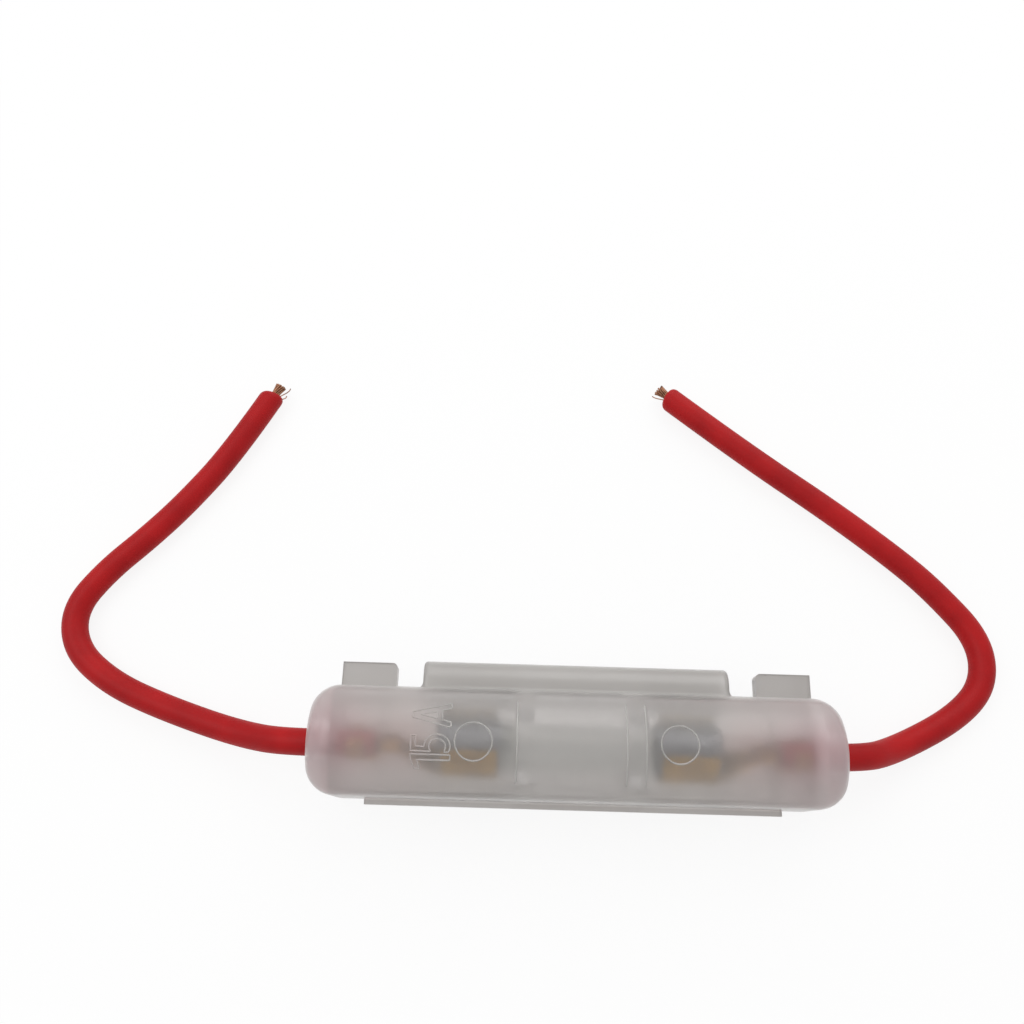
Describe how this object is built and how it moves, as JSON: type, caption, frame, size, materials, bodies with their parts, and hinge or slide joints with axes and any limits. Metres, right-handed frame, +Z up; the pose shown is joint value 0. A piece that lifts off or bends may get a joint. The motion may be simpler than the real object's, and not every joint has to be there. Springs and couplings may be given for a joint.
{
  "type": "inline fuse holder",
  "caption": "Translucent clamshell fuse holder with a living hinge, brass fuse clips, a glass fuse and a red insulated lead crimped in at each end.",
  "frame": {"origin": "bottom centre of the holder without its leads, on the surface that it lies on", "axes": "+X along the fuse, +Y towards the hinge, +Z up, with the domed half on top"},
  "size_m": [0.1142, 0.055, 0.0134],
  "materials": {
    "natural_pp": "translucent natural polypropylene, satin",
    "brass": "stamped, bright",
    "nickel": "nickel plated",
    "fuse_glass": "clear",
    "fuse_element": "zinc strip",
    "red_pvc": "extruded, soft gloss",
    "copper": "twisted copper strands"
  },
  "bodies": {
    "base": {"housing_base": "natural_pp", "hinge_web": "natural_pp", "terminal_left": "brass", "terminal_right": "brass", "fuse_glass": "fuse_glass", "fuse_cap_left": "nickel", "fuse_cap_right": "nickel", "fuse_element": "fuse_element", "insulation_left": "red_pvc", "insulation_right": "red_pvc", "conductor_left": "copper", "conductor_right": "copper"},
    "lid": {"housing_lid": "natural_pp"}
  },
  "joints": [
    {"name": "lid_hinge", "type": "hinge", "parent": "base", "child": "lid", "pos_m": [0, 0.0075, 0.0063], "axis": [-1, 0, 0], "range_deg": [0, 170], "deforming": ["hinge_web"]}
  ]
}
